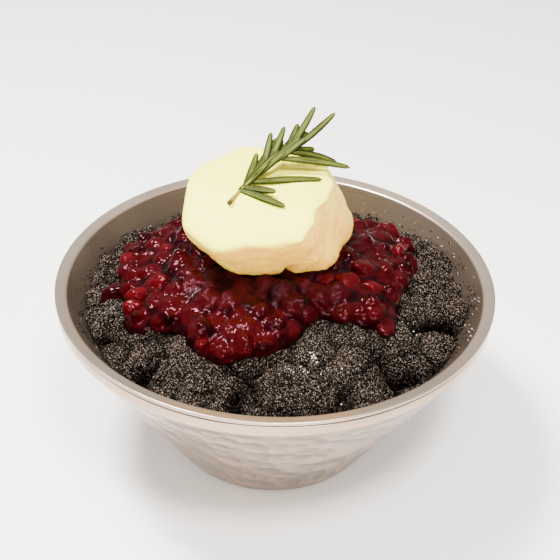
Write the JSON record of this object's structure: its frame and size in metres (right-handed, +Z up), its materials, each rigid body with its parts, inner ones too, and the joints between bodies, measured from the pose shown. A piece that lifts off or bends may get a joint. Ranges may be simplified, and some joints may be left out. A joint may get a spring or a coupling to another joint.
{
  "type": "bingsu",
  "caption": "Shaved-ice dessert in a flared double-walled steel bowl, heaped with dark cookie crumb and topped with berry compote, a torn scoop of cream and a rosemary sprig.",
  "frame": {"origin": "middle of the bowl's foot, on the table", "axes": "+Z up, -Y towards the viewer of the picture, +X to that viewer's right"},
  "size_m": [0.19, 0.19, 0.1558],
  "materials": {
    "steel_liner": "smooth satin steel",
    "steel_shell": "hammered satin steel",
    "crumb": "dry dark cookie crumb",
    "compote": "wet dark red fruit in sauce",
    "cream": "soft matt cream",
    "rosemary": "green leaf with a pale midrib"
  },
  "bodies": {
    "root": {"bowl_liner": "steel_liner", "bowl_shell": "steel_shell", "cookie_crumb": "crumb", "berry_compote": "compote", "cream_scoop": "cream", "rosemary_sprig": "rosemary"}
  },
  "joints": []
}
